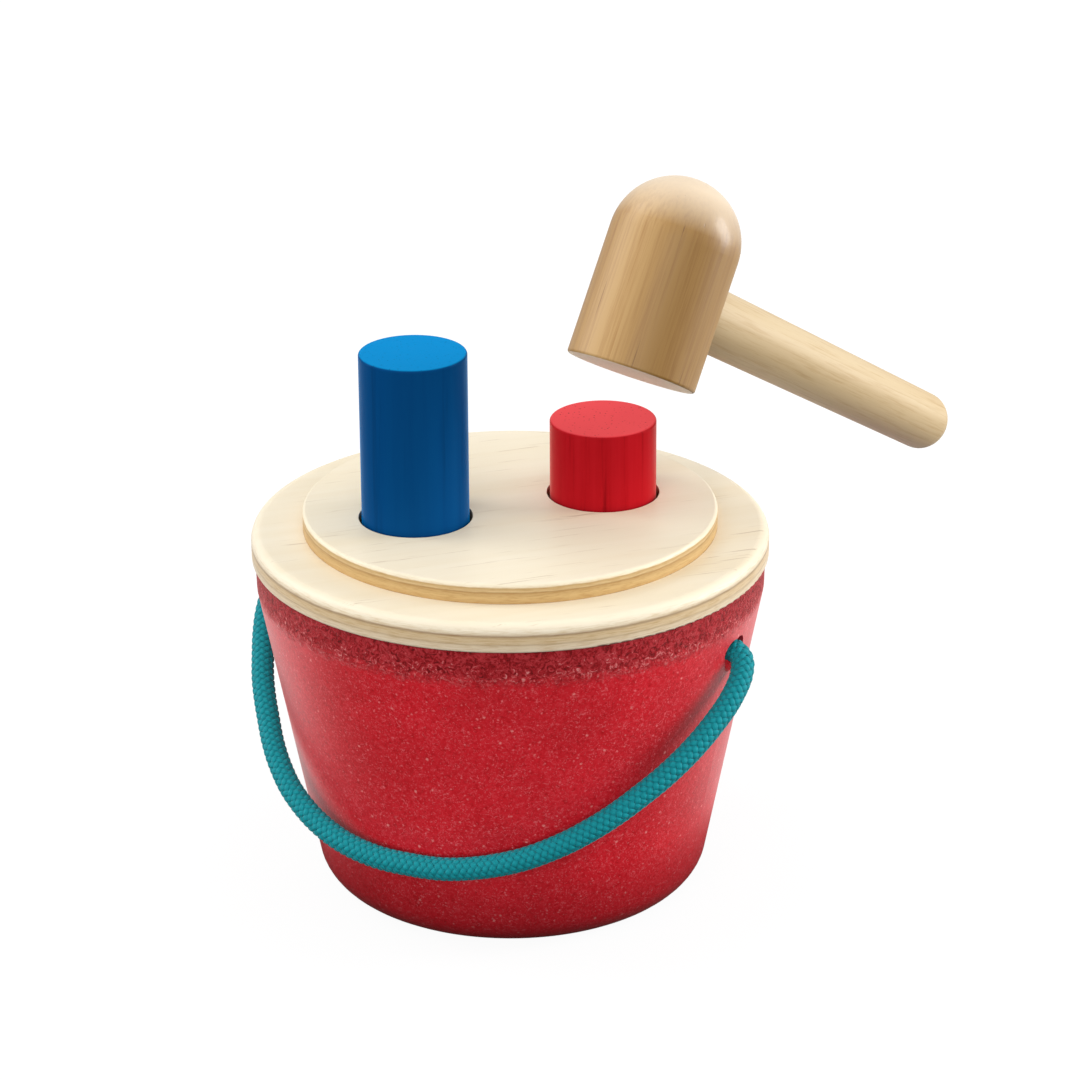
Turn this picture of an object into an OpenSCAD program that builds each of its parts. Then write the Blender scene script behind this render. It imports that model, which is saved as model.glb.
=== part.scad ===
// Peg pounding bucket: a pressed wood-fibre pail with a plywood lid, two pegs that see-saw on a rocker
// under the lid, a braided rope handle and a loose hammer. Sizes are in mm and +Z is up. The origin is
// the middle of the pail's base, and X runs along the line through the two rope holes.

/* [Bucket] */
// Height of the pail from the floor to its rim
bucket_h = 104.5; // [90:0.5:140]
// Outer diameter at the rim
rim_d = 153; // [140:1:190]
// Height of the turned band under the rim
band_h = 9; // [4:0.5:16]
// Amount by which the band narrows downwards, on each side
band_draft = 0.3; // [0.1:0.1:1]
// Outer diameter of the tapered wall, carried on down to the floor
base_d = 115.5; // [100:0.5:130]
// Radius of the round edge under the pail
foot_round = 11.5; // [4:0.5:20]
// Thickness of the wall
wall_t = 7; // [5:0.25:9]
// Thickness of the floor
floor_t = 8; // [4:0.5:14]
// Radius of the round corner inside, where the wall meets the floor
floor_round = 8; // [3:0.5:16]

/* [Rope handle] */
// Diameter of the braided rope
cord_d = 7; // [5:0.25:7.5]
// Room round the rope in its holes
hole_room = 0.8; // [0.7:0.1:3]
// Depth in the wall from which each hole is drilled again, leaned towards the rope to relieve its lip
lip_depth = 3; // [2.5:0.25:3.5]
// Lean of that second drilling, degrees
lip_lean = 45; // [38:1:50]
// Angle through which the rope loop swings up, degrees
loop_swing = 44; // [20:1:44]
// Diameter of the stopper knots inside the wall
knot_d = 17; // [14:0.5:22]
// Length of a stopper knot
knot_l = 13; // [10:0.5:18]
// Radius of a knot's round edges
knot_round = 4; // [1:0.5:4.5]
// Room between the knots and the disc above them
knot_room = 2; // [1:0.25:12]

/* [Lid] */
// Amount by which the wide disc stands out past the rim
flange_over = 1; // [0.5:0.25:6]
// Thickness of the wide disc that rests on the rim
flange_t = 8.5; // [7:0.5:14]
// Radius of the wide disc's round top edge
flange_round = 3; // [0.5:0.25:3.25]
// Radius of the wide disc's lower edge
flange_low_round = 0.75; // [0.25:0.25:3.25]
// Width of the step between the wide disc's edge and the upper disc
top_disc_inset = 15.5; // [8:0.5:20]
// Thickness of the raised upper disc
top_disc_t = 6; // [5:0.5:12]
// Radius of the upper disc's top edge
top_disc_round = 1; // [0.25:0.25:3]
// Thickness of the disc that drops into the mouth
register_t = 8; // [6:0.5:14]
// Turn of the peg line from the rope holes, degrees
lid_turn = 45; // [0:1:90]
// Diameter of the hidden dowels that join the three discs
dowel_d = 8; // [5:0.5:10]
// Depth of a dowel in the upper and the lower disc
dowel_depth = 4; // [2:0.25:4.5]
// Distance of the dowels' middles from the upper disc's edge
dowel_inset = 12; // [7:0.5:15]
// Angle of the dowels from the peg line, degrees
dowel_angle = 60; // [50:1:75]

/* [Pegs] */
// Diameter of a peg
peg_d = 32; // [24:0.5:34]
// Distance between the two pegs' middles
peg_pitch = 59; // [55:0.5:70]
// Height of the raised peg above the lid
peg_up = 51.5; // [35:0.5:60]
// Distance that a peg travels
peg_travel = 28; // [15:0.5:32]
// Radius of a peg's edges
peg_round = 0.8; // [0.3:0.1:4]
// Amount by which the collar that keeps a peg in is wider than its hole, on each side
collar_lip = 2.5; // [1.5:0.25:3]
// Thickness of the collar
collar_t = 6; // [4:0.5:9]
// Radius of the domed foot under the collar
foot_r = 10; // [7:0.25:14]
// Diameter of the spigot that joins a foot to its peg
spigot_d = 12; // [8:0.5:18]
// Length of the spigot
spigot_l = 16; // [8:0.5:30]

/* [Rocker] */
// Length of the rocker plank
plank_l = 80; // [74:0.5:96]
// Width of the rocker plank and its bearing block
plank_w = 26; // [20:0.5:34]
// Thickness of the rocker plank
plank_t = 9; // [6:0.5:14]
// Room between the bearing block and the pegs' collars on either side of it
block_room = 2; // [1:0.25:3.5]
// Diameter of the rocker axle
axle_d = 6; // [4:0.25:8]
// Thickness of a cheek that holds the axle
cheek_t = 9; // [6:0.25:14]
// Width of a cheek
cheek_w = 24; // [18:0.5:27]
// Diameter of the washers beside the block
washer_d = 14; // [10:0.5:20]
// Thickness of a washer
washer_t = 1; // [0.5:0.1:2]
// Distance between the two screws of a cheek or of the block
screw_pitch = 13; // [10:0.5:14]
// Diameter of a screw's shank
screw_d = 3.5; // [2.5:0.25:4.5]
// Diameter of a screw's countersunk head
screw_head_d = 7; // [5.5:0.25:9]
// Height of a screw's countersunk head
screw_head_h = 2; // [1:0.25:3]
// Depth of the screws in the cheeks
screw_bite = 11; // [8:0.5:16]
// Wood left between the end of a block's screw and the axle's hole
screw_end = 1.65; // [1:0.05:4]

/* [Hammer] */
// Diameter of the hammer's head
head_d = 38; // [30:0.5:44]
// Length of the head from the flat face to the top of the dome
head_l = 58; // [50:0.5:75]
// Radius of the edge round the flat face
face_round = 0.8; // [0.3:0.1:4]
// Diameter of the handle where it enters the head
handle_d = 19.4; // [16:0.2:22]
// Diameter of the handle near its free end
handle_end_d = 18; // [15:0.2:21]
// Distance of the handle's free end from the middle of the head
handle_reach = 160; // [100:1:190]
// Depth of the handle in the head past the middle
handle_sunk = 8; // [0:0.5:11]
// Height of the handle's middle above the flat face
handle_at = 23.5; // [16:0.5:32]
// Radius of the handle's round end
handle_round = 6.8; // [1:0.2:7.2]
// Place of the face's middle along X
hammer_x = 50.3; // [45:0.1:90]
// Place of the face's middle along Y
hammer_y = -23.3; // [-60:0.1:0]
// Height of the face's middle above the lid
hammer_above = 57; // [50:0.5:120]
// Lean of the head from upright, degrees
hammer_lean = 30; // [0:0.5:34]
// Turn of the handle from the rope holes, degrees
hammer_turn = 75.8; // [60:0.2:90]

/* [Fits] */
// Clearance between pieces that move past each other
body_gap = 0.3; // [0.2:0.05:0.6]
// Clearance round the axle and in glued or screwed holes
fit = 0.05; // [0.02:0.01:0.1]
// Clearance round a peg in the lid
peg_clear = 1; // [0.4:0.1:2]
// Clearance of the lower disc in the mouth
mouth_gap = 0.5; // [0.3:0.05:2]
// Clearance between a domed foot and the plank at either end of the travel
rock_gap = 0.7; // [0.6:0.05:2]
// Clearance between the hanging rope and the wall
loop_gap = 0.6; // [0.3:0.1:3]
// Overrun of a cut past the face that it opens
overrun = 1; // [0.5:0.25:3]

/* [Hidden] */

// Round pieces are smooth
$fn = 96;

// The pail's wall as a line: its radius at the floor, its slope and its angle from upright
rim_r = rim_d / 2;
band_r = rim_r - band_draft;
base_r = base_d / 2;
band_z = bucket_h - band_h;
wall_slope = (band_r - base_r) / band_z;
wall_angle = atan(wall_slope);
wall_across = wall_t / cos(wall_angle);
function wall_r(z) = base_r + z * wall_slope;
function mouth_r(z) = wall_r(z) - wall_across;
// Distance from the axis of a round edge's middle, for an edge that touches the wall line and a level
function edge_middle(line_r, z, r) = line_r + (z + r) * wall_slope - r / cos(wall_angle);

// Rope holes and the loop of rope: the loop is flat and turns about the line through the holes
mouth_top = bucket_h + overrun;
cord_hole_d = cord_d + 2 * hole_room;
hole_z = bucket_h - register_t - knot_room - knot_d / 2;
hole_r = wall_r(hole_z);
knot_face = mouth_r(hole_z - knot_d / 2) - body_gap / cos(wall_angle);
// Points along the loop on either side, from its hole down to the lowest point, which ends the right side.
// Each is a distance out along the holes' line and a drop from that line, for holes that leave the wall at
// the route's own radius. The rope hangs a little fuller on the left.
route_r = 75;
right_route = [
    [70, 0], [74.6, 0.7], [77.8, 3.2], [79.1, 7.4], [79.2, 12], [78.2, 18.5], [76.1, 25.5], [73.7, 32],
    [70.4, 39], [66.6, 45.7], [62.2, 52.2], [57.2, 59], [51.5, 65.5], [44, 72.5], [34, 79.5], [23, 84.5],
    [11.5, 87.7], [0, 88.7]
];
left_route = [
    [70, 0], [74.6, 0.7], [77.8, 3.2], [79.1, 7.4], [79.2, 12], [78.2, 18.5], [76.1, 25.5], [73.6, 32],
    [70.6, 39.2], [67, 46], [63, 52.6], [58.4, 59.8], [52.9, 66.8], [45.4, 74.2], [35, 81.2], [23.6, 86.1],
    [11.7, 88.5]
];
route_size = hole_r / route_r;
loop_drop = right_route[len(right_route) - 1][1] * route_size;
// The loop leans out until its lowest point clears the wall
loop_out = hole_r + (cord_d / 2) / cos(wall_angle) + loop_gap;
loop_lean = asin(loop_out * cos(wall_angle) / loop_drop) - wall_angle;
// The leaned drillings of a rope hole, for the hanging rope and for the raised: depth in the wall, direction
lip_d = cord_hole_d - body_gap;
hole_lips = [[lip_depth, loop_lean], [lip_depth - body_gap, loop_lean + loop_swing]];
right_side = [for (p = right_route) p * route_size];
left_side = [for (i = [len(left_route) - 1 : -1 : 0]) [-left_route[i][0], left_route[i][1]] * route_size];
loop_route = concat([[knot_face, 0]], right_side, left_side, [[-knot_face, 0]]);
function loop_point(p) = [p[0], -p[1] * sin(loop_lean), hole_z - p[1] * cos(loop_lean)];
loop_points = [for (p = loop_route) loop_point(p)];
loop_normal = [0, cos(loop_lean), -sin(loop_lean)];
cord_sides = 10;

// Levels of the lid's discs
flange_z = bucket_h + body_gap;
flange_r = rim_r + flange_over;
top_disc_r = flange_r - top_disc_inset;
dowel_reach = top_disc_r - dowel_inset;
top_disc_z = flange_z + flange_t;
lid_top = top_disc_z + top_disc_t;
register_z = flange_z - register_t;
register_r = mouth_r(register_z) - mouth_gap;
peg_hole_r = peg_d / 2 + peg_clear;
dowel_hole_d = dowel_d + 2 * fit;
screw_hole_d = screw_d + 2 * fit;
screw_sink_d = screw_head_d + 2 * fit;
axle_hole_d = axle_d + 2 * fit;

// Pegs: each collar stops just under the lower disc when its peg is up
blue_top = lid_top + peg_up;
collar_top = register_z - body_gap;
collar_r = peg_hole_r + collar_lip;
peg_l = blue_top - collar_top;
foot_middle = collar_top - collar_t;

// Rocker: level half way down the travel, with the plank's top one dome below the axle
axle_z = foot_middle - peg_travel / 2;
rest_tilt = atan(peg_travel / peg_pitch);
plank_drop = foot_r + rock_gap;
block_w = peg_pitch - 2 * collar_r - 2 * block_room;
block_screw_l = plank_t + plank_drop - axle_hole_d / 2 - screw_end;
washer_y = plank_w / 2 + body_gap;
cheek_y = washer_y + washer_t;
axle_l = 2 * (cheek_y + cheek_t);
cheek_screw_y = cheek_y + cheek_t / 2;
cheek_screw_l = register_t + screw_bite;

// Pieces that turn with the lid
module on_lid() {
    rotate([0, 0, lid_turn]) children();
}

// Half outline of a disc, r out and h high, with its outer edges rounded below and above
module disc_half(r, h, low_round, high_round) {
    square([r - low_round, h - high_round]);
    translate([0, low_round]) square([r, h - low_round - high_round]);
    translate([0, low_round]) square([r - high_round, h - low_round]);
    if (low_round > 0)
        translate([r - low_round, low_round]) circle(low_round);
    if (high_round > 0)
        translate([r - high_round, h - high_round]) circle(high_round);
}

// Solid disc with rounded edges
module round_disc(r, h, low_round, high_round) {
    rotate_extrude() disc_half(r, h, low_round, high_round);
}

// Half outline of a tapered pot: level bottom at z, wall line and round bottom edge, open up to a top
module pot_half(line_r, z, r, wall_top, wall_end) {
    middle = edge_middle(line_r, z, r);
    touch = [middle + r * cos(wall_angle), z + r - r * sin(wall_angle)];
    polygon([[0, z], [middle, z], touch, [wall_end, wall_top], [0, wall_top]]);
    translate([middle, z + r]) circle(r);
}

// Pressed pail: rounded foot, tapered wall, turned band under the rim and two rope holes with relieved lips
module bucket() {
    color([0.72, 0.16, 0.19])
    difference() {
        rotate_extrude() {
            difference() {
                union() {
                    pot_half(base_r, 0, foot_round, band_z, band_r);
                    polygon([[0, band_z], [band_r, band_z], [rim_r, bucket_h], [0, bucket_h]]);
                }
                pot_half(base_r - wall_across, floor_t, floor_round, mouth_top, mouth_r(mouth_top));
            }
        }
        translate([0, 0, hole_z]) rotate([0, 90, 0])
        cylinder(d = cord_hole_d, h = 2 * rim_r, center = true);
        for (side = [-1, 1], lip = hole_lips)
            translate([side * (hole_r - lip[0]), 0, hole_z])
            rotate([-lip[1], 0, 0])
            rotate([0, side * (90 + lip_lean), 0])
            cylinder(d = lip_d, h = 2 * wall_t);
    }
}

// The two peg holes through a disc
module peg_holes(z, h) {
    for (side = [-1, 1])
        translate([side * peg_pitch / 2, 0, z - overrun]) cylinder(r = peg_hole_r, h = h + 2 * overrun);
}

// Places of the four dowels
module dowel_places() {
    for (angle = [dowel_angle, 180 - dowel_angle, 180 + dowel_angle, -dowel_angle])
        rotate([0, 0, angle]) translate([dowel_reach, 0, 0]) children();
}

// Wide plywood disc with a rounded edge, resting on the rim
module flange_disc() {
    color([0.93, 0.83, 0.66])
    on_lid()
    difference() {
        translate([0, 0, flange_z]) round_disc(flange_r, flange_t, flange_low_round, flange_round);
        peg_holes(flange_z, flange_t);
        dowel_places() translate([0, 0, flange_z - overrun])
        cylinder(d = dowel_hole_d, h = flange_t + 2 * overrun);
    }
}

// Raised plywood disc round the pegs
module top_disc() {
    color([0.95, 0.86, 0.70])
    on_lid()
    difference() {
        translate([0, 0, top_disc_z]) round_disc(top_disc_r, top_disc_t, 0, top_disc_round);
        peg_holes(top_disc_z, top_disc_t);
        dowel_places() translate([0, 0, top_disc_z - overrun])
        cylinder(d = dowel_hole_d, h = dowel_depth + fit + overrun);
    }
}

// Lower disc that drops into the mouth, keeps the lid in place and carries the cheeks
module register_disc() {
    color([0.88, 0.77, 0.58])
    on_lid()
    difference() {
        translate([0, 0, register_z]) cylinder(r = register_r, h = register_t);
        peg_holes(register_z, register_t);
        dowel_places() translate([0, 0, flange_z - dowel_depth - fit])
        cylinder(d = dowel_hole_d, h = dowel_depth + fit + overrun);
        for (side = [-1, 1])
            cheek_screw_places(side) screw_hole(cheek_screw_l);
    }
}

// Beech dowels that line up and join the three discs
module lid_dowels() {
    color([0.84, 0.70, 0.50])
    on_lid()
    dowel_places() translate([0, 0, flange_z - dowel_depth])
    cylinder(d = dowel_d, h = flange_t + 2 * dowel_depth);
}

// Countersunk wood screw: head at the origin's level, shank downwards
module screw(l) {
    translate([0, 0, -screw_head_h]) cylinder(d1 = screw_d, d2 = screw_head_d, h = screw_head_h);
    translate([0, 0, -l]) cylinder(d = screw_d, h = l - screw_head_h);
}

// Hole for such a screw, a fit larger all round
module screw_hole(l) {
    translate([0, 0, -screw_head_h]) cylinder(d1 = screw_hole_d, d2 = screw_sink_d, h = screw_head_h);
    cylinder(d = screw_sink_d, h = overrun);
    translate([0, 0, -l - fit]) cylinder(d = screw_hole_d, h = l + fit);
}

// Places of a cheek's two screws, heads level with the top of the lower disc
module cheek_screw_places(side) {
    for (along = [-1, 1])
        translate([along * screw_pitch / 2, side * cheek_screw_y, flange_z]) children();
}

// Cheek: upright board under the lower disc with a round lower end about the axle
module cheek(side) {
    low_y = side > 0 ? cheek_y : -cheek_y - cheek_t;
    on_lid()
    difference() {
        translate([0, low_y + cheek_t, 0]) rotate([90, 0, 0]) linear_extrude(cheek_t) {
            translate([-cheek_w / 2, axle_z]) square([cheek_w, register_z - axle_z]);
            translate([0, axle_z]) circle(d = cheek_w);
        }
        axle_bore();
        cheek_screw_places(side) screw_hole(cheek_screw_l);
    }
}

// Bore for the axle through both cheeks and the washers
module axle_bore() {
    translate([0, 0, axle_z]) rotate([90, 0, 0])
    cylinder(d = axle_hole_d, h = axle_l + 2 * overrun, center = true);
}

module front_cheek() {
    color([0.86, 0.73, 0.53]) cheek(-1);
}

module back_cheek() {
    color([0.86, 0.73, 0.53]) cheek(1);
}

module front_cheek_screws() {
    color([0.72, 0.72, 0.74]) on_lid() cheek_screw_places(-1) screw(cheek_screw_l);
}

module back_cheek_screws() {
    color([0.72, 0.72, 0.74]) on_lid() cheek_screw_places(1) screw(cheek_screw_l);
}

// Steel pin through both cheeks and the bearing block
module rocker_axle() {
    color([0.75, 0.75, 0.78])
    on_lid()
    translate([0, 0, axle_z]) rotate([90, 0, 0]) cylinder(d = axle_d, h = axle_l, center = true);
}

// Washer on the axle between a cheek and the block
module washer(side) {
    on_lid()
    difference() {
        translate([0, side * (washer_y + washer_t / 2), axle_z]) rotate([90, 0, 0])
        cylinder(d = washer_d, h = washer_t, center = true);
        axle_bore();
    }
}

module front_washer() {
    color([0.92, 0.92, 0.90]) washer(-1);
}

module back_washer() {
    color([0.92, 0.92, 0.90]) washer(1);
}

// Pieces that tilt with the rocker, drawn about the axle and turned to the resting tilt
module on_rocker() {
    on_lid() translate([0, 0, axle_z]) rotate([0, rest_tilt, 0]) children();
}

// Places of the block's two screws, heads level with the plank's underside
module block_screw_places() {
    for (side = [-1, 1])
        translate([0, side * screw_pitch / 2, -plank_drop - plank_t]) rotate([180, 0, 0]) children();
}

// Plank that the domed feet stand on, one at each end
module rocker_plank() {
    color([0.82, 0.66, 0.45])
    on_rocker()
    difference() {
        translate([0, 0, -plank_drop - plank_t]) linear_extrude(plank_t) {
            square([plank_l - plank_w, plank_w], center = true);
            for (side = [-1, 1])
                translate([side * (plank_l - plank_w) / 2, 0]) circle(d = plank_w);
        }
        block_screw_places() screw_hole(block_screw_l);
    }
}

// Bearing block on the plank, round above the axle
module rocker_block() {
    color([0.80, 0.63, 0.42])
    on_rocker()
    difference() {
        rotate([90, 0, 0]) linear_extrude(plank_w, center = true) {
            translate([-block_w / 2, -plank_drop]) square([block_w, plank_drop]);
            circle(d = block_w);
        }
        rotate([90, 0, 0]) cylinder(d = axle_hole_d, h = plank_w + 2 * overrun, center = true);
        block_screw_places() screw_hole(block_screw_l);
    }
}

// Screws up through the plank into the block
module block_screws() {
    color([0.72, 0.72, 0.74]) on_rocker() block_screw_places() screw(block_screw_l);
}

// Turned peg with eased edges and a bore for its foot's spigot
module peg(side, drop) {
    on_lid()
    translate([side * peg_pitch / 2, 0, collar_top - drop])
    difference() {
        round_disc(peg_d / 2, peg_l, peg_round, peg_round);
        translate([0, 0, -overrun]) cylinder(d = spigot_d + 2 * fit, h = spigot_l + fit + overrun);
    }
}

// Foot of a peg: spigot glued into the peg, collar that stops under the lid and dome that meets the plank
module peg_foot(side, drop) {
    on_lid()
    translate([side * peg_pitch / 2, 0, foot_middle - drop])
    rotate_extrude() {
        translate([0, collar_t]) square([spigot_d / 2, spigot_l]);
        square([collar_r, collar_t]);
        intersection() {
            circle(foot_r);
            translate([0, -foot_r]) square([foot_r, foot_r]);
        }
    }
}

module blue_peg() {
    color([0.07, 0.36, 0.58]) peg(-1, 0);
}

module blue_peg_foot() {
    color([0.83, 0.68, 0.47]) peg_foot(-1, 0);
}

module red_peg() {
    color([0.84, 0.16, 0.19]) peg(1, peg_travel);
}

module red_peg_foot() {
    color([0.83, 0.68, 0.47]) peg_foot(1, peg_travel);
}

// The hammer is drawn with its face level and its handle along X, then leaned and turned into place
module on_hammer() {
    translate([hammer_x, hammer_y, lid_top + hammer_above]) rotate([0, hammer_lean, hammer_turn]) children();
}

// Turned handle with a slight taper and a round end, a given amount larger all round
module handle_form(more) {
    low = -handle_sunk - more;
    shoulder = handle_reach - handle_round;
    end_r = handle_end_d / 2;
    translate([0, 0, handle_at]) rotate([0, 90, 0])
    rotate_extrude() {
        polygon([[0, low], [handle_d / 2 + more, low], [end_r + more, shoulder], [0, shoulder]]);
        translate([0, shoulder]) square([end_r - handle_round, handle_round]);
        intersection() {
            translate([end_r - handle_round, shoulder]) circle(handle_round);
            translate([0, shoulder]) square([end_r, handle_round]);
        }
    }
}

// Turned head: flat striking face, straight side and a full dome, bored for the handle
module hammer_head() {
    color([0.85, 0.70, 0.49])
    on_hammer()
    difference() {
        union() {
            round_disc(head_d / 2, head_l - head_d / 2, face_round, 0);
            translate([0, 0, head_l - head_d / 2])
            rotate_extrude() {
                intersection() {
                    circle(d = head_d);
                    square([head_d / 2, head_d / 2]);
                }
            }
        }
        handle_form(fit);
    }
}

module hammer_handle() {
    color([0.90, 0.79, 0.60]) on_hammer() handle_form(0);
}

// Ring of points round the loop's line at place i, square to the line
function route_way(i) = loop_points[min(i + 1, len(loop_points) - 1)] - loop_points[max(i - 1, 0)];
function ring_points(i) =
    let (way = route_way(i) / norm(route_way(i)), across = cross(way, loop_normal))
    [for (k = [0 : cord_sides - 1])
        let (angle = 360 * k / cord_sides)
        loop_points[i] + (cord_d / 2) * (cos(angle) * loop_normal + sin(angle) * across)];

// Rope from knot to knot, through both holes and round the front of the pail
module handle_cord() {
    rings = len(loop_points);
    points = [for (i = [0 : rings - 1]) each ring_points(i)];
    sides = [
        for (i = [0 : rings - 2], k = [0 : cord_sides - 1])
            let (a = i * cord_sides + k, b = i * cord_sides + (k + 1) % cord_sides)
            each [[a, b, b + cord_sides], [a, b + cord_sides, a + cord_sides]]
    ];
    first = [for (k = [cord_sides - 1 : -1 : 0]) k];
    last = [for (k = [0 : cord_sides - 1]) (rings - 1) * cord_sides + k];
    color([0.06, 0.52, 0.55]) polyhedron(points, concat(sides, [first, last]), convexity = 4);
}

// Stopper knot that keeps an end of the rope inside the wall
module knot(side) {
    translate([side * knot_face, 0, hole_z]) rotate([0, -side * 90, 0])
    round_disc(knot_d / 2, knot_l, knot_round, knot_round);
}

module left_knot() {
    color([0.05, 0.46, 0.50]) knot(-1);
}

module right_knot() {
    color([0.05, 0.46, 0.50]) knot(1);
}

bucket();
flange_disc();
top_disc();
register_disc();
lid_dowels();
front_cheek();
back_cheek();
front_cheek_screws();
back_cheek_screws();
rocker_axle();
front_washer();
back_washer();
rocker_plank();
rocker_block();
block_screws();
blue_peg();
blue_peg_foot();
red_peg();
red_peg_foot();
hammer_head();
hammer_handle();
handle_cord();
left_knot();
right_knot();
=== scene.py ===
import math
import bmesh
import bpy
import numpy as np
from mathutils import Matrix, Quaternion, Vector


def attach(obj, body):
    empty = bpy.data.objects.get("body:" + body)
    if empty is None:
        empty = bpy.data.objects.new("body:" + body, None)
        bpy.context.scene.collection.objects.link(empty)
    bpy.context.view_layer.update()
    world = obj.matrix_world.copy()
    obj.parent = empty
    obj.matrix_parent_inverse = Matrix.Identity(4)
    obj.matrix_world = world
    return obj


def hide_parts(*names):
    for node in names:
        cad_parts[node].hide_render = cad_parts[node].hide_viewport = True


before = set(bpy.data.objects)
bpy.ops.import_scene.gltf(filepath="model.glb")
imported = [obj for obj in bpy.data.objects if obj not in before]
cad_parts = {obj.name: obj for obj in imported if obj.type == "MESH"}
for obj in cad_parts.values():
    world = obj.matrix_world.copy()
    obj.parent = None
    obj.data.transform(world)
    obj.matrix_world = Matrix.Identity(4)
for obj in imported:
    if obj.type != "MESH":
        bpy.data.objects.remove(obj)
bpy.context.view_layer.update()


# Pail: a tapered bucket with a round foot, pressed in one piece from red-dyed wood fibre and resin and then
# waxed. The band under its rim is turned true, which tears fibres out and leaves pits and pale chips there.
mm = 0.001


def linear(colour):
    """The linear colour of an sRGB hex value, or of a plain grey level."""
    if not isinstance(colour, str):
        return (colour, colour, colour, 1.0)
    parts = [int(colour[i:i + 2], 16) / 255 for i in (1, 3, 5)]
    return tuple(c / 12.92 if c <= 0.04045 else ((c + 0.055) / 1.055) ** 2.4 for c in parts) + (1.0,)


def put(tree, kind, inputs, stops=(), **settings):
    """Adds a shader node with its settings and its colour stops, and sets or links its inputs."""
    made = tree.nodes.new("ShaderNode" + kind)
    for name, value in settings.items():
        setattr(made, name, value)
    if stops:
        ramp = made.color_ramp.elements
        ramp[0].position, ramp[1].position = stops[0][0], stops[-1][0]
        for at, _ in stops[1:-1]:
            ramp.new(at)
        for stop, (_, colour) in zip(ramp, stops):
            stop.color = linear(colour)
    for socket, value in inputs.items():
        if isinstance(value, bpy.types.NodeSocket):
            tree.links.new(value, made.inputs[socket])
        else:
            made.inputs[socket].default_value = value
    return made


def new_finish(name, **sockets):
    """A new material whose shader has some plain sockets set, its tree, and its place on the piece."""
    made = bpy.data.materials.new(name)
    made.use_nodes = True
    for socket, value in sockets.items():
        made.node_tree.nodes["Principled BSDF"].inputs[socket.replace("_", " ")].default_value = value
    return made, made.node_tree, put(made.node_tree, "TexCoord", {})


def coat(made, colour, roughness, relief, depth):
    """Joins a colour, a roughness and a relief of a given depth to a material's shader."""
    tree = made.node_tree
    shader = tree.nodes["Principled BSDF"]
    bump = put(tree, "Bump", {"Height": relief, "Distance": depth})
    for socket, value in (("Base Color", colour), ("Roughness", roughness), ("Normal", bump.outputs["Normal"])):
        tree.links.new(value, shader.inputs[socket])


def dress(made, *pieces):
    """Gives CAD nodes or new pieces a material."""
    for piece in pieces:
        mesh = (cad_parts[piece] if isinstance(piece, str) else piece).data
        mesh.materials.clear()
        mesh.materials.append(made)


# Pressed wood fibre: a satin wax shine over a fine red mottle, with pale chips of undyed wood here and there.
# The wax mirrors the white floor where the eye skims the wall, so it turns pale towards its outline.
fibre, tree, at = new_finish("pressed_wood_fibre_red", IOR=1.5, Sheen_Roughness=0.32, Sheen_Tint=linear("#FFCFC9"))
place = at.outputs["Object"]
level = put(tree, "SeparateXYZ", {0: place}).outputs["Z"]
mottle = put(tree, "TexNoise", {"Vector": place, "Scale": 1 / (1.2 * mm), "Detail": 4.0, "Roughness": 0.7,
                                "Distortion": 0.8})
red = put(tree, "ValToRGB", {"Fac": mottle.outputs["Fac"]},
          stops=[(0.32, "#C60D1A"), (0.46, "#E01928"), (0.57, "#E82231"), (0.72, "#F0565E")]).outputs["Color"]
clouds = put(tree, "TexNoise", {"Vector": place, "Scale": 1 / (28 * mm), "Detail": 2.0}).outputs["Fac"]
cloud_tint = put(tree, "ValToRGB", {"Fac": clouds}, stops=[(0.3, "#E9DEDE"), (0.7, "#FFFFFF")]).outputs["Color"]
red = put(tree, "Mix", {0: 1.0, 6: red, 7: cloud_tint}, data_type="RGBA", blend_type="MULTIPLY").outputs[2]
ragged = put(tree, "VectorMath", {0: mottle.outputs["Color"], 1: (1.3 * mm,) * 3, 2: place}, operation="MULTIPLY_ADD")
ragged = ragged.outputs["Vector"]
# Each row of chips: spacing and radius in mm, share of places that hold one, colour
chip_rows = ((0.9, 0.2, 0.5, "#F25C63"), (1.9, 0.36, 0.45, "#FA8084"), (4.5, 0.5, 0.5, "#FF9C98"))
for spacing, radius, share, colour in chip_rows:
    cells = put(tree, "TexVoronoi", {"Vector": ragged, "Scale": 1 / (spacing * mm)})
    chip = put(tree, "MapRange", {"Value": cells.outputs["Distance"], "From Min": 0.4 * radius / spacing,
                                  "From Max": 1.2 * radius / spacing, "To Min": 0.8, "To Max": 0.0}).outputs["Result"]
    kept = put(tree, "Math", {0: cells.outputs["Color"], 1: 1 - share}, operation="GREATER_THAN").outputs[0]
    chip = put(tree, "Math", {0: chip, 1: kept}, operation="MULTIPLY").outputs[0]
    red = put(tree, "Mix", {0: chip, 6: red, 7: linear(colour)}, data_type="RGBA").outputs[2]
# Short bent fibres, 0.4 mm wide, lie all over the wall
bent = put(tree, "TexNoise", {"Vector": place, "Scale": 1 / (1.3 * mm), "Detail": 2.0, "Roughness": 0.6,
                              "Distortion": 2.5}).outputs["Fac"]
bent = put(tree, "MapRange", {"Value": bent, "From Min": 0.58, "From Max": 0.68, "To Max": 0.65}).outputs["Result"]
red = put(tree, "Mix", {0: bent, 6: red, 7: linear("#F6747A")}, data_type="RGBA").outputs[2]
# Painted shade: the wall is painted darker towards the foot, over its lowest 28 mm
painted_foot_shade = put(tree, "MapRange", {"Value": level, "From Min": 0.0, "From Max": 28 * mm,
                              "To Min": 0.78, "To Max": 0.0}).outputs["Result"]
red = put(tree, "Mix", {0: painted_foot_shade, 6: red, 7: linear("#5E060C")}, data_type="RGBA").outputs[2]
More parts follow.
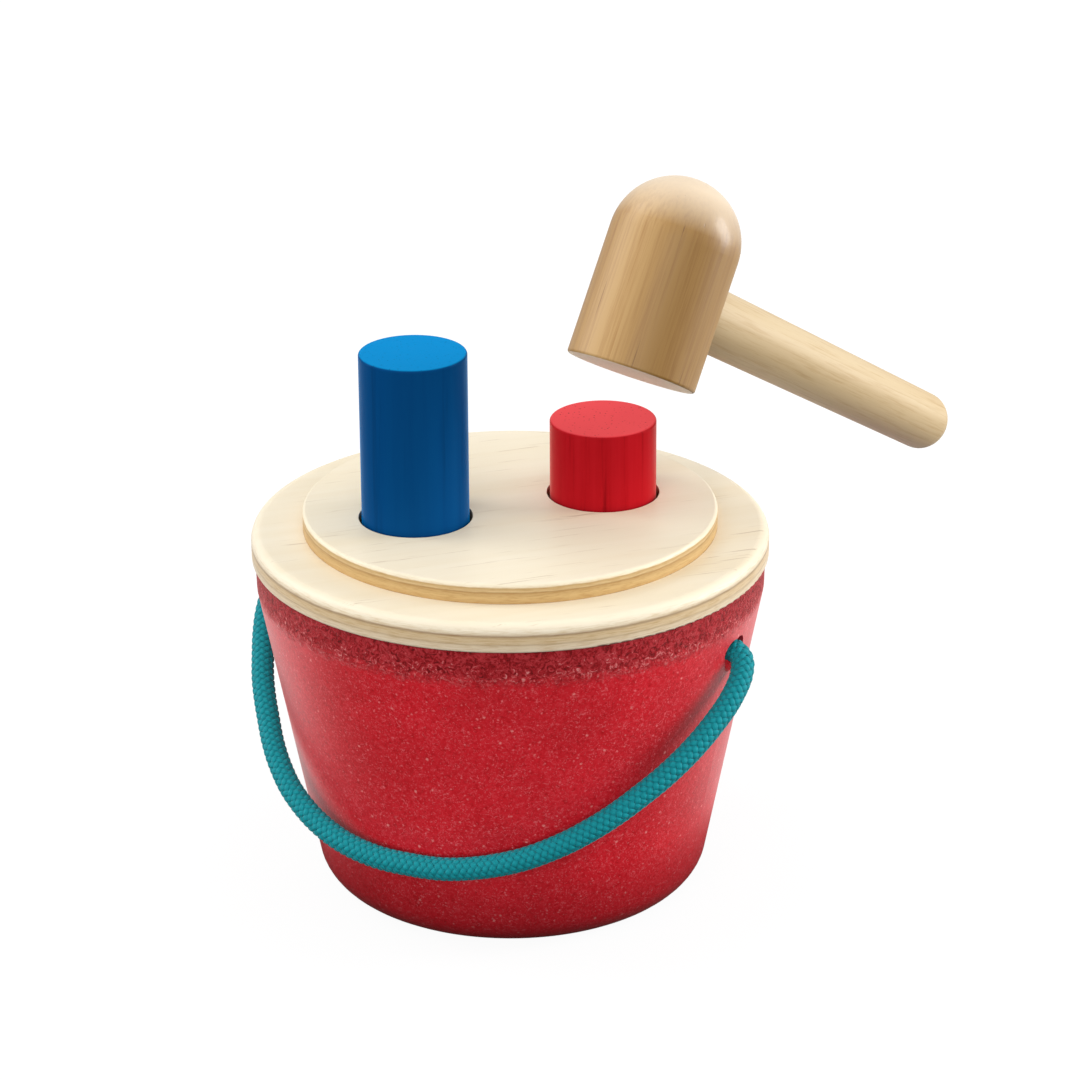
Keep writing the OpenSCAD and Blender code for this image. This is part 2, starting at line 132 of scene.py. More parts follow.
# The turned band starts 95.5 mm up, with a soft edge that wanders by a millimetre or two
edge_wander = 9 * mm
edge = put(tree, "TexNoise", {"Vector": place, "Scale": 1 / (2.5 * mm), "Detail": 4.0,
                              "Roughness": 0.75}).outputs["Fac"]
edge = put(tree, "Math", {0: edge, 1: edge_wander, 2: level}, operation="MULTIPLY_ADD").outputs[0]
band = put(tree, "MapRange", {"Value": edge, "From Min": 97.6 * mm, "From Max": 102.0 * mm}).outputs["Result"]
torn = put(tree, "TexNoise", {"Vector": place, "Scale": 1 / (2.0 * mm), "Detail": 4.0, "Roughness": 0.72,
                              "Distortion": 1.6}).outputs["Fac"]
torn_red = put(tree, "ValToRGB", {"Fac": torn},
               stops=[(0.34, "#5C0A0D"), (0.46, "#9C131B"), (0.56, "#BC343B")]).outputs["Color"]
red = put(tree, "Mix", {0: band, 6: red, 7: torn_red}, data_type="RGBA").outputs[2]
# Torn-up ends: pale strokes, thick along the band's lower edge and thinner towards the rim
thick = put(tree, "MapRange", {"Value": level, "From Min": 95 * mm, "From Max": 103.5 * mm,
                               "To Min": 0.53, "To Max": 0.66}).outputs["Result"]
tuft = put(tree, "Math", {0: torn, 1: thick}, operation="SUBTRACT").outputs[0]
tuft = put(tree, "MapRange", {"Value": tuft, "From Max": 0.1, "To Max": 0.8}).outputs["Result"]
tuft = put(tree, "Math", {0: tuft, 1: band}, operation="MULTIPLY").outputs[0]
red = put(tree, "Mix", {0: tuft, 6: red, 7: linear("#EFA29E")}, data_type="RGBA").outputs[2]
shine = put(tree, "MapRange", {"Value": mottle.outputs["Fac"], "To Min": 0.3, "To Max": 0.44}).outputs["Result"]
shine = put(tree, "Math", {0: band, 1: 0.25, 2: shine}, operation="MULTIPLY_ADD").outputs[0]
pits = put(tree, "Math", {0: torn, 1: band}, operation="MULTIPLY").outputs[0]
relief = put(tree, "Math", {0: mottle.outputs["Fac"], 1: 0.15, 2: pits}, operation="MULTIPLY_ADD").outputs[0]
# The wax was put on before the band was turned, so the band has little of it
wax = put(tree, "MapRange", {"Value": band, "To Min": 0.5, "To Max": 0.15}).outputs["Result"]
tree.links.new(wax, tree.nodes["Principled BSDF"].inputs["Specular IOR Level"])
# Loose fibre ends catch skimming light, less at the rubbed foot
fuzz = put(tree, "MapRange", {"Value": level, "From Min": 10 * mm, "From Max": 60 * mm,
                              "To Min": 0.05, "To Max": 0.25}).outputs["Result"]
tree.links.new(fuzz, tree.nodes["Principled BSDF"].inputs["Sheen Weight"])
coat(fibre, red, shine, relief, 0.45 * mm)
dress(fibre, "bucket")


# Lid: three discs of birch plywood glued and dowelled one on another, sanded and clear lacquered. The wide
# disc's edge is rounded over, and the cut edges show the plies as level stripes.
lid_turn = math.radians(45)
plywood, tree, at = new_finish("birch_plywood_lacquered", IOR=1.5, Specular_IOR_Level=0.3)
place = at.outputs["Object"]
level = put(tree, "SeparateXYZ", {0: place}).outputs["Z"]
upright = put(tree, "SeparateXYZ", {0: at.outputs["Normal"]}).outputs["Z"]
upright = put(tree, "Math", {0: upright}, operation="ABSOLUTE").outputs[0]
# Face veneer: cream, with sparse short hairlines of grain along the line of the pegs
lie = put(tree, "Mapping", {"Vector": place, "Rotation": (0, math.radians(90), lid_turn), "Scale": (1, 1, 20)},
          vector_type="TEXTURE").outputs["Vector"]
tone = put(tree, "TexNoise", {"Vector": lie, "Scale": 1 / (9 * mm), "Detail": 3.0}).outputs["Fac"]
hair = put(tree, "TexNoise", {"Vector": lie, "Scale": 1 / (0.9 * mm), "Detail": 2.0, "Roughness": 0.6}).outputs["Fac"]
cream = put(tree, "ValToRGB", {"Fac": tone},
            stops=[(0.3, "#EEE0C3"), (0.5, "#F1E5CB"), (0.7, "#F3E8D0")]).outputs["Color"]
patch = put(tree, "TexNoise", {"Vector": lie, "Scale": 1 / (4 * mm)}).outputs["Fac"]
patch = put(tree, "MapRange", {"Value": patch, "From Min": 0.52, "From Max": 0.62}).outputs["Result"]
line = put(tree, "MapRange", {"Value": hair, "From Min": 0.32, "From Max": 0.4,
                              "To Min": 0.5, "To Max": 0.0}).outputs["Result"]
line = put(tree, "Math", {0: line, 1: patch}, operation="MULTIPLY").outputs[0]
cream = put(tree, "Mix", {0: line, 6: cream, 7: linear("#B59A76")}, data_type="RGBA").outputs[2]
# Edge plies by height in mm, with glue lines between them; the joint under the upper disc is dark
low, high = 96.8, 119.3
ply_wander = 0.5
# The palest ply at 104.8 mm, on the flange's lower rounding, is painted light standing in for light bounced up from
# below
plies_and_painted_bounce = [(96.8, "#E3D0AC"), (98.2, "#E3D0AC"), (98.4, "#A58A68"), (98.6, "#CDB083"), (100.0, "#CDB083"),
         (100.2, "#A58A68"), (100.4, "#E0CCA6"), (103.2, "#E0CCA6"), (103.4, "#A58A68"), (103.6, "#E3D0AC"),
         (104.7, "#E3D0AC"), (104.8, "#F4E2CC"), (105.4, "#EBD9BE"), (106.9, "#E6D2B2"), (107.3, "#D0B896"),
         (107.8, "#E2CAA4"), (109.3, "#DEC49A"), (109.9, "#B49878"), (110.5, "#EBDABD"), (111.4, "#F2E6CE"),
         (113.1, "#F2E6CE"), (113.2, "#8A6A42"), (113.5, "#C4A06A"), (115.0, "#CEAE78"), (116.3, "#C19F6A"),
         (116.7, "#B08B58"), (117.1, "#D4BA8C"), (118.0, "#C2A26F"), (118.4, "#F1E5CB")]
wander = put(tree, "TexNoise", {"Vector": place, "Scale": 1 / (6 * mm), "Detail": 3.0}).outputs["Fac"]
wander = put(tree, "Math", {0: wander, 1: ply_wander * mm, 2: level}, operation="MULTIPLY_ADD").outputs[0]
wander = put(tree, "MapRange", {"Value": wander, "From Min": (low + ply_wander / 2) * mm,
                                "From Max": (high + ply_wander / 2) * mm}).outputs["Result"]
ply = put(tree, "ValToRGB", {"Fac": wander},
          stops=[((z - low) / (high - low), colour) for z, colour in plies_and_painted_bounce]).outputs["Color"]
# Sawn fibres run round the edge in short level streaks, drawn on the edge's own length and height
edge_r, streak_stretch = 70 * mm, 12.0
across = put(tree, "SeparateXYZ", {0: place})
angle = put(tree, "Math", {0: across.outputs["Y"], 1: across.outputs["X"]}, operation="ARCTAN2").outputs[0]
along = put(tree, "Math", {0: angle, 1: edge_r}, operation="MULTIPLY").outputs[0]
upward = put(tree, "Math", {0: level, 1: streak_stretch}, operation="MULTIPLY").outputs[0]
unrolled = put(tree, "CombineXYZ", {"X": along, "Y": upward}).outputs["Vector"]
sawn = put(tree, "TexNoise", {"Vector": unrolled, "Scale": 1 / (5 * mm), "Detail": 4.0,
                              "Roughness": 0.65}).outputs["Fac"]
sawn_tint = put(tree, "ValToRGB", {"Fac": sawn}, stops=[(0.33, "#E4D6BE"), (0.55, "#FFFFFF")]).outputs["Color"]
sawn_share = put(tree, "MapRange", {"Value": upright, "From Min": 0.3, "From Max": 0.75,
                                    "To Min": 0.8, "To Max": 0.0}).outputs["Result"]
ply = put(tree, "Mix", {0: sawn_share, 6: ply, 7: sawn_tint}, data_type="RGBA", blend_type="MULTIPLY").outputs[2]
face = put(tree, "MapRange", {"Value": upright, "From Min": 0.72, "From Max": 0.92}).outputs["Result"]
wood = put(tree, "Mix", {0: face, 6: ply, 7: cream}, data_type="RGBA").outputs[2]
shine = put(tree, "MapRange", {"Value": hair, "To Min": 0.5, "To Max": 0.36}).outputs["Result"]
coat(plywood, wood, shine, hair, 0.03 * mm)
dress(plywood, "flange_disc", "top_disc", "register_disc")


# Lid works: two beech cheeks screwed up under the lower disc carry the rocker's axle, and four beech
# dowels pin the discs together. The pegs' turned feet are of the same wood, all left bare and matt.
def beech(name, turn, dark="#C99F6F", pale="#DDBC8F"):
    """Bare beech whose grain runs along Z, turned as given."""
    made, tree, at = new_finish(name, IOR=1.45)
    lie = put(tree, "Mapping", {"Vector": at.outputs["Object"], "Rotation": turn, "Scale": (1, 1, 14)},
              vector_type="TEXTURE").outputs["Vector"]
    tone = put(tree, "TexNoise", {"Vector": lie, "Scale": 1 / (5 * mm), "Detail": 4.0,
                                  "Roughness": 0.6}).outputs["Fac"]
    wood = put(tree, "ValToRGB", {"Fac": tone}, stops=[(0.3, dark), (0.7, pale)]).outputs["Color"]
    # Rays: dark flecks 0.4 mm wide and up to 6 mm long
    cells = put(tree, "TexVoronoi", {"Vector": lie, "Scale": 1 / (1.3 * mm)})
    ray = put(tree, "MapRange", {"Value": cells.outputs["Distance"], "From Min": 0.1, "From Max": 0.24,
                                 "To Min": 0.55, "To Max": 0.0}).outputs["Result"]
    wood = put(tree, "Mix", {0: ray, 6: wood, 7: linear("#8A5F38")}, data_type="RGBA").outputs[2]
    matt = put(tree, "MapRange", {"Value": tone, "To Min": 0.5, "To Max": 0.68}).outputs["Result"]
    coat(made, wood, matt, tone, 0.1 * mm)
    return made


upright_beech = beech("beech_upright_grain", (0, 0, 0))
dress(upright_beech, "lid_dowels", "front_cheek", "back_cheek", "blue_peg_foot", "red_peg_foot")


# Axle and screws: bright zinc-plated steel. The axle is a ground pin, and the screws are countersunk wood
# screws, so both shine with a faint cloudy plating.
steel, tree, at = new_finish("zinc_plated_steel", Metallic=1.0)
plating = put(tree, "TexNoise", {"Vector": at.outputs["Object"], "Scale": 1 / (1.5 * mm),
                                 "Detail": 4.0}).outputs["Fac"]
grey = put(tree, "ValToRGB", {"Fac": plating}, stops=[(0.3, "#A9ADB2"), (0.7, "#C9CCD0")]).outputs["Color"]
shine = put(tree, "MapRange", {"Value": plating, "To Min": 0.22, "To Max": 0.42}).outputs["Result"]
coat(steel, grey, shine, plating, 0.02 * mm)
dress(steel, "rocker_axle", "front_cheek_screws", "back_cheek_screws", "block_screws")


# Washers: two thin nylon discs punched from sheet, which keep the bearing block off the cheeks.
# Milky and slightly waxy.
nylon, tree, at = new_finish("nylon_sheet", IOR=1.53)
haze = put(tree, "TexNoise", {"Vector": at.outputs["Object"], "Scale": 1 / (2 * mm), "Detail": 3.0}).outputs["Fac"]
milky = put(tree, "ValToRGB", {"Fac": haze}, stops=[(0.3, "#E2DFD4"), (0.7, "#F0EEE6")]).outputs["Color"]
shine = put(tree, "MapRange", {"Value": haze, "To Min": 0.38, "To Max": 0.5}).outputs["Result"]
coat(nylon, milky, shine, haze, 0.03 * mm)
dress(nylon, "front_washer", "back_washer")


# Rocker: a beech plank with round ends, and a bearing block screwed on it that turns on the axle.
# The grain of both runs along the plank, which rests tilted by the raised peg.
peg_travel, peg_pitch = 28 * mm, 59 * mm
rest_tilt = math.atan(peg_travel / peg_pitch)
rocker_beech = beech("beech_plank_grain", (0, rest_tilt + math.radians(90), lid_turn), "#BF9463", "#D6B282")
dress(rocker_beech, "rocker_plank", "rocker_block")


# Pegs: turned from rubberwood, dipped in a clear blue or red stain that the grain drinks unevenly, and lacquered.
# The stain dries darker in the pores. The top end is painted paler, as painted light from above.
def stained(name, node, dark, middle, pale, end, glow, streaks):
    """Stained wood with upright grain for a peg: colours of its side, its top end (painted paler, as painted light
    from above) and its skimmed outline, and the depth of its streaks."""
    made, tree, at = new_finish(name, IOR=1.45, Specular_IOR_Level=0.01, Sheen_Weight=0.8, Sheen_Roughness=0.3,
                                Sheen_Tint=linear(glow))
    place = at.outputs["Object"]
    lie = put(tree, "Mapping", {"Vector": place, "Scale": (1, 1, 30)}, vector_type="TEXTURE").outputs["Vector"]
    tone = put(tree, "TexNoise", {"Vector": lie, "Scale": 1 / (3 * mm), "Detail": 4.0,
                                  "Roughness": 0.6}).outputs["Fac"]
    side = put(tree, "ValToRGB", {"Fac": tone}, stops=[(0.25, dark), (0.45, middle), (0.75, pale)]).outputs["Color"]
    # Pores: 0.4 mm wide and up to 12 mm long on the side, so they are dots on the end
    cells = put(tree, "TexVoronoi", {"Vector": lie, "Scale": 1 / (1.4 * mm)})
    pore = put(tree, "MapRange", {"Value": cells.outputs["Distance"], "From Min": 0.08, "From Max": 0.22,
                                  "To Min": 1.0, "To Max": 0.0}).outputs["Result"]
    patch = put(tree, "TexNoise", {"Vector": lie, "Scale": 1 / (7 * mm)}).outputs["Fac"]
    patch = put(tree, "MapRange", {"Value": patch, "From Min": 0.45, "From Max": 0.65,
                                   "To Max": streaks}).outputs["Result"]
    upward = put(tree, "SeparateXYZ", {0: at.outputs["Normal"]}).outputs["Z"]
    # Painted light: a mask of the upward-facing top end, which is painted paler below; it also gets more pores and a
    # duller shine
    painted_lit_top = put(tree, "MapRange", {"Value": upward, "From Min": 0.6, "From Max": 0.95}).outputs["Result"]
    patch = put(tree, "Math", {0: painted_lit_top, 1: 0.35, 2: patch}, operation="MULTIPLY_ADD").outputs[0]
    pore = put(tree, "Math", {0: pore, 1: patch}, operation="MULTIPLY").outputs[0]
    colour = put(tree, "Mix", {0: painted_lit_top, 6: side, 7: linear(end)}, data_type="RGBA").outputs[2]
    colour = put(tree, "Mix", {0: pore, 6: colour, 7: linear(dark)}, data_type="RGBA").outputs[2]
    shine = put(tree, "MapRange", {"Value": tone, "To Min": 0.22, "To Max": 0.28}).outputs["Result"]
    shine = put(tree, "Math", {0: painted_lit_top, 1: 0.3, 2: shine}, operation="MULTIPLY_ADD").outputs[0]
    dents = put(tree, "Math", {0: pore, 1: -0.8, 2: tone}, operation="MULTIPLY_ADD").outputs[0]
    coat(made, colour, shine, dents, 0.04 * mm)
    dress(made, node)


stained("rubberwood_stained_blue", "blue_peg", "#063866", "#064278", "#07467C", "#0C86C4", "#0A9AF0", 0.3)
stained("rubberwood_stained_red", "red_peg", "#7E0A11", "#B0141D", "#B91A24", "#E6484F", "#FF948C", 0.9)


# Rope handle: 7 mm polyester cord braided from twelve flat strands over a core. It runs from a knot inside
# the wall, out through a hole, round the front of the pail and in again to the other knot.
cord_d, knot_r, knot_gap = 7 * mm, 8.5 * mm, 0.3 * mm
base_r, band_r, band_z, wall_t, hole_z = 57.75 * mm, 76.2 * mm, 95.5 * mm, 7 * mm, 86 * mm
slope = (band_r - base_r) / band_z
wall_angle = math.atan(slope)
hole_r = base_r + hole_z * slope
knot_face = base_r + (hole_z - knot_r) * slope - (wall_t + knot_gap) / math.cos(wall_angle)
# Half of the loop on each side, as distances out and down for a pail whose holes are 75 out
route_hole_r = 75
right_route = [(70, 0), (74.6, 0.7), (77.8, 3.2), (79.1, 7.4), (79.2, 12), (78.2, 18.5), (76.1, 25.5), (73.7, 32),
               (70.4, 39), (66.6, 45.7), (62.2, 52.2), (57.2, 59), (51.5, 65.5), (44, 72.5), (34, 79.5), (23, 84.5),
               (11.5, 87.7), (0, 88.7)]
left_route = [(70, 0), (74.6, 0.7), (77.8, 3.2), (79.1, 7.4), (79.2, 12), (78.2, 18.5), (76.1, 25.5), (73.6, 32),
              (70.6, 39.2), (67, 46), (63, 52.6), (58.4, 59.8), (52.9, 66.8), (45.4, 74.2), (35, 81.2), (23.6, 86.1),
              (11.7, 88.5)]
size = hole_r / route_hole_r
# The loop leans forward until its lowest point hangs just clear of the wall
loop_gap = 0.6 * mm
lowest = right_route[-1][1] * size
reach = hole_r + cord_d / 2 / math.cos(wall_angle) + loop_gap
lean = math.asin(reach * math.cos(wall_angle) / lowest) - wall_angle
loop = [(knot_face, 0)] + [(x * size, drop * size) for x, drop in right_route]
loop += [(-x * size, drop * size) for x, drop in left_route[::-1]] + [(-knot_face, 0)]
loop = np.array([(x, -drop * math.sin(lean), hole_z - drop * math.cos(lean)) for x, drop in loop])


def smooth_line(points, step=0.36 * mm, per_span=40):
    """Points an even step apart on a smooth curve through the given points, and the curve's length."""
    ends = np.vstack([2 * points[0] - points[1], points, 2 * points[-1] - points[-2]])
    t = np.linspace(0, 1, per_span, endpoint=False)[:, None]
    fine = [0.5 * (2 * b + (c - a) * t + (2 * a - 5 * b + 4 * c - d) * t ** 2 + (3 * b - a - 3 * c + d) * t ** 3)
            for a, b, c, d in zip(ends, ends[1:], ends[2:], ends[3:])]
    fine = np.vstack(fine + [points[-1]])
    run = np.concatenate([[0], np.cumsum(np.linalg.norm(np.diff(fine, axis=0), axis=1))])
    even = np.linspace(0, run[-1], round(run[-1] / step) + 1)
    return np.stack([np.interp(even, run, fine[:, i]) for i in range(3)], 1), run[-1]


def braid(name, line, thick, lay=13.2 * mm, per_way=6, strand_sides=8, core_sides=12, bluntness=0.7):
    """A braided rope along a line of even points: strands that go over and under each other round a plain core."""
    # Shares of the rope's thickness: the strands' distance from the middle and how far they rise and sink,
    # half their width and height, and the core's radius
    strand_r, rise, half_wide, half_high, core_r = (thick * share for share in (0.41, 0.032, 0.13, 0.062, 0.37))
    way = np.gradient(line, axis=0)
    way /= np.linalg.norm(way, axis=1)[:, None]
    across = np.empty_like(line)
    last = np.array((0.0, 1.0, 0.0))
    for i in range(len(line)):
        last = last - way[i] * last.dot(way[i])
        last /= np.linalg.norm(last)
        across[i] = last
    beside = np.cross(way, across)
    run = np.concatenate([[0], np.cumsum(np.linalg.norm(np.diff(line, axis=0), axis=1))])
    points, faces, caps, spots, crests = [], [], [], [], []
    row = np.arange(len(line) - 1)[:, None]

    def tube(middle, out, wide, high, count, crest):
        """One strand or the core: rings of points round a middle line, and each corner's place along and round it."""
        along = np.gradient(middle, axis=0)
        along /= np.linalg.norm(along, axis=1)[:, None]
        flat = np.cross(along, out)
        angles = 2 * math.pi * np.arange(count) / count
        blunt = [np.copysign(np.abs(wave) ** bluntness, wave) for wave in (np.cos(angles), np.sin(angles))]
        ring = [middle + flat * wide * c + out * high * s for c, s in zip(*blunt)]
        first = sum(len(p) for p in points)
        points.append(np.stack(ring, 1).reshape(-1, 3))
        k = np.arange(count)[None, :]
        after = (k + 1) % count
        quad = np.stack([row * count + k, (row + 1) * count + k, (row + 1) * count + after, row * count + after], -1)
        faces.append(quad.reshape(-1, 4) + first)
        u = np.stack([run[row] + 0 * k, run[row + 1] + 0 * k, run[row + 1] + 0 * k, run[row] + 0 * k], -1)
        v = np.stack([k + 0 * row, k + 0 * row, k + 1 + 0 * row, k + 1 + 0 * row], -1) / count
        spots.append(np.stack([u / mm, v], -1).reshape(-1, 2))
        crests.append(np.repeat(crest, count))
        far = first + (len(line) - 1) * count
        caps.extend([list(range(first, first + count)), list(range(far, far + count))[::-1]])

    for strand in range(2 * per_way):
        turn = 1 if strand % 2 else -1
        angle = turn * 2 * math.pi * run / lay + 2 * math.pi * (strand // 2) / per_way
        wave = turn * np.cos(per_way * 2 * math.pi * run / lay)
        out = np.cos(angle)[:, None] * across + np.sin(angle)[:, None] * beside
        middle = line + out * (strand_r + rise * wave)[:, None]
        tube(middle, out, half_wide, half_high, strand_sides, 0.5 + 0.5 * wave)
    tube(line, across, core_r, core_r, core_sides, np.zeros(len(line)))
    mesh = bpy.data.meshes.new(name)
    sides_round = np.concatenate(faces).tolist()
    mesh.from_pydata(np.concatenate(points).tolist(), [], sides_round + caps)
    mesh.polygons.foreach_set("use_smooth", [True] * len(sides_round) + [False] * len(caps))
    spots.append(np.zeros((sum(len(cap) for cap in caps), 2)))
    mesh.uv_layers.new(name="strand").data.foreach_set("uv", np.concatenate(spots).ravel())
    mesh.attributes.new("crest", "FLOAT", "POINT").data.foreach_set("value", np.concatenate(crests))
    piece = bpy.data.objects.new(name, mesh)
    bpy.context.scene.collection.objects.link(piece)
    return piece


# Braided polyester: soft, with a faint sheen; each strand is a flat bundle of filaments, painted paler where it rises
# and painted darker where it sinks, as painted shade
polyester, tree, at = new_finish("braided_polyester_teal", IOR=1.5, Specular_IOR_Level=0.15, Sheen_Weight=0.25,
                                 Sheen_Roughness=0.4, Sheen_Tint=linear("#BFEDEE"))
strand = put(tree, "UVMap", {}, uv_map="strand").outputs["UV"]
# Filaments are far finer than can show, so they are drawn 0.2 mm wide with a slight twist
twist = put(tree, "Mapping", {"Vector": strand, "Rotation": (0, 0, math.radians(4)),
                              "Scale": (0.4, 26, 1)}).outputs["Vector"]
filament = put(tree, "TexNoise", {"Vector": twist, "Scale": 1.0, "Detail": 2.0}).outputs["Fac"]
crest = put(tree, "Attribute", {}, attribute_name="crest").outputs["Fac"]
# Painted shade: strands are painted darker where they sink and the core darkest, and paler on their crests
teal_with_painted_valley_shade = put(tree, "ValToRGB", {"Fac": crest},
           stops=[(0.0, "#065864"), (0.5, "#0A8893"), (1.0, "#109CA6")]).outputs["Color"]
thread = put(tree, "ValToRGB", {"Fac": filament}, stops=[(0.3, "#B9CFD0"), (0.65, "#FFFFFF")]).outputs["Color"]
teal_with_painted_valley_shade = put(tree, "Mix", {0: 0.7, 6: teal_with_painted_valley_shade, 7: thread}, data_type="RGBA", blend_type="MULTIPLY").outputs[2]
soft = put(tree, "MapRange", {"Value": filament, "To Min": 0.55, "To Max": 0.8}).outputs["Result"]
coat(polyester, teal_with_painted_valley_shade, soft, filament, 0.08 * mm)

rope_line, rope_length = smooth_line(loop)
rope = braid("rope", rope_line, cord_d)
dress(polyester, rope)
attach(rope, "rope_handle")
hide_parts("handle_cord")

# Knots: each end of the rope is tied in an overhand knot, pulled tight until the rope is squeezed to 5.9 mm,
# and its tail is cut off and sealed with heat. The left knot is the right one turned half round.
squeezed_d, bead_r = 5.9 * mm, 2.85 * mm
knot_route = [(65.3, 0, 0), (62.2, 1.3, 0.5), (59.6, 1.7, 1.3), (57.3, 2.8, 1.9), (55, 3.8, 1.1),
              (53.2, 4, -0.9), (52.1, 3.1, -3.1), (51.9, 1.3, -5.1), (52.7, -1, -6.2), (54.2, -3.2, -6.2),
              (55.9, -4.8, -4.9), (57.4, -5.4, -2.7), (58.4, -4.9, -0.3), (59.1, -4, 2.2), (59.8, -2.9, 4.6),
              (60.6, -1, 6.2), (61.4, 1.6, 6.7), (61.8, 4, 5.7), (61.8, 5.8, 3.7), (61.3, 6.4, 1.2),
              (60.3, 5.8, -1.3), (59, 4.1, -2.9), (57.6, 1.8, -3.2), (56.1, -0.1, -2.2), (54.1, -1.5, -1.1),
              (52, -3.1, -0.6), (49.8, -4.5, -0.1), (47.6, -6, 0.4), (45.3, -7.3, 0.8)]
for side, node in ((1, "right_knot"), (-1, "left_knot")):
    knot_points = np.array([(side * x * mm, side * y * mm, hole_z + z * mm) for x, y, z in knot_route])
    knot_line, _ = smooth_line(knot_points)
    knot = braid("rope_" + node, knot_line, squeezed_d)
    dress(polyester, knot)
    # The melted end is a smooth bead
    melt = bmesh.new()
    melt.from_mesh(knot.data)
    bead = bmesh.ops.create_uvsphere(melt, u_segments=16, v_segments=10, radius=bead_r)
    bmesh.ops.translate(melt, verts=bead["verts"], vec=knot_line[-1])
    for vert in bead["verts"]:
        for face in vert.link_faces:
            face.smooth = True
    melt.to_mesh(knot.data)
    melt.free()
    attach(knot, "rope_handle")
    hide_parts(node)


# Hammer: a rubberwood head turned with a full dome, and a paler dowel glued into a hole in its side.
# Both are sanded and lacquered, so they shine softly over the grain, which follows each piece's length.
hammer_at = (50.3 * mm, -23.3 * mm, 176.3 * mm)
hammer_lean, hammer_turn = math.radians(30), math.radians(75.8)
rubberwood, tree, at = new_finish("rubberwood_lacquered", IOR=1.5, Specular_IOR_Level=0.5, Coat_Roughness=0.2)
# Year rings: one dark year, half of a 36 mm period, runs up the right half of the head. The tree's heart lay 65 mm
# to the right of the head. A wave texture repeats every pi / 10 at scale 1.
heart_at, ring_period = (24.5 * mm, -60.7 * mm, 0), 36 * mm
on_head = put(tree, "Mapping", {"Vector": at.outputs["Object"], "Location": hammer_at,
                                "Rotation": (0, hammer_lean, hammer_turn)}, vector_type="TEXTURE").outputs["Vector"]
shifted = put(tree, "Mapping", {"Vector": on_head, "Location": heart_at, "Scale": (1, 1, 12)},
              vector_type="TEXTURE").outputs["Vector"]
rings = put(tree, "TexWave", {"Vector": shifted, "Scale": math.pi / 10 / ring_period, "Distortion": 1.6,
                              "Detail": 3.0, "Detail Scale": 3.0, "Detail Roughness": 0.6},
            wave_type="RINGS", rings_direction="Z").outputs["Fac"]
wood = put(tree, "ValToRGB", {"Fac": rings},
           stops=[(0.0, "#C29C66"), (0.45, "#AE8549"), (1.0, "#946E36")]).outputs["Color"]
lie = put(tree, "Mapping", {"Vector": on_head, "Scale": (1, 1, 34)}, vector_type="TEXTURE").outputs["Vector"]
fine = put(tree, "TexNoise", {"Vector": lie, "Scale": 1 / (1.3 * mm), "Detail": 4.0,
                              "Roughness": 0.65}).outputs["Fac"]
fine_tint = put(tree, "ValToRGB", {"Fac": fine}, stops=[(0.3, "#D6C2A4"), (0.55, "#FFFFFF")]).outputs["Color"]
wood = put(tree, "Mix", {0: 0.7, 6: wood, 7: fine_tint}, data_type="RGBA", blend_type="MULTIPLY").outputs[2]
# Pores: dark dashes 0.4 mm wide and up to 12 mm long, dense in the dark year
cells = put(tree, "TexVoronoi", {"Vector": lie, "Scale": 1 / (1.5 * mm)})
pore = put(tree, "MapRange", {"Value": cells.outputs["Distance"], "From Min": 0.07, "From Max": 0.17,
                              "To Min": 0.8, "To Max": 0.0}).outputs["Result"]
fewer = put(tree, "MapRange", {"Value": rings, "To Min": 0.78, "To Max": 0.4}).outputs["Result"]
kept = put(tree, "Math", {0: cells.outputs["Color"], 1: fewer}, operation="GREATER_THAN").outputs[0]
pore = put(tree, "Math", {0: pore, 1: kept}, operation="MULTIPLY").outputs[0]
wood = put(tree, "Mix", {0: pore, 6: wood, 7: linear("#7A5630")}, data_type="RGBA").outputs[2]
# The dome cuts across the grain, so it is smoother; its paler cream is a painted highlight from the light above.
# The striking face is sanded end grain, painted near-white as a painted reflection of the pale lid and floor below it
axis = (math.sin(hammer_lean) * math.cos(hammer_turn), math.sin(hammer_lean) * math.sin(hammer_turn),
        math.cos(hammer_lean))
ends = put(tree, "VectorMath", {0: at.outputs["Normal"], 1: axis}, operation="DOT_PRODUCT").outputs["Value"]
# Painted highlight: the dome is mixed towards pale cream, and this also hides its grain and pores
smooth_dome_painted_highlight = put(tree, "MapRange", {"Value": ends, "From Min": 0.15, "From Max": 0.8, "To Max": 0.8}).outputs["Result"]
wood = put(tree, "Mix", {0: smooth_dome_painted_highlight, 6: wood, 7: linear("#F0DCC0")}, data_type="RGBA").outputs[2]
# The dome was dipped once more, so only it has a clear shine
dipped = put(tree, "MapRange", {"Value": ends, "From Min": 0.0, "From Max": 0.3, "To Max": 0.25}).outputs["Result"]
tree.links.new(dipped, tree.nodes["Principled BSDF"].inputs["Coat Weight"])
# Painted reflection: the sanded striking face is painted near-white, standing in for the pale lid mirrored in it
struck_face_painted_reflection = put(tree, "MapRange", {"Value": ends, "From Min": -0.85, "From Max": -0.97}).outputs["Result"]
sanded_and_painted_reflection = put(tree, "ValToRGB", {"Fac": fine}, stops=[(0.3, "#F1E2CC"), (0.6, "#FBF2E4")]).outputs["Color"]
wood = put(tree, "Mix", {0: struck_face_painted_reflection, 6: wood, 7: sanded_and_painted_reflection}, data_type="RGBA").outputs[2]
shine = put(tree, "MapRange", {"Value": fine, "To Min": 0.42, "To Max": 0.54}).outputs["Result"]
dents = put(tree, "Math", {0: pore, 1: -1.0, 2: fine}, operation="MULTIPLY_ADD").outputs[0]
coat(rubberwood, wood, shine, dents, 0.06 * mm)
dress(rubberwood, "hammer_head")

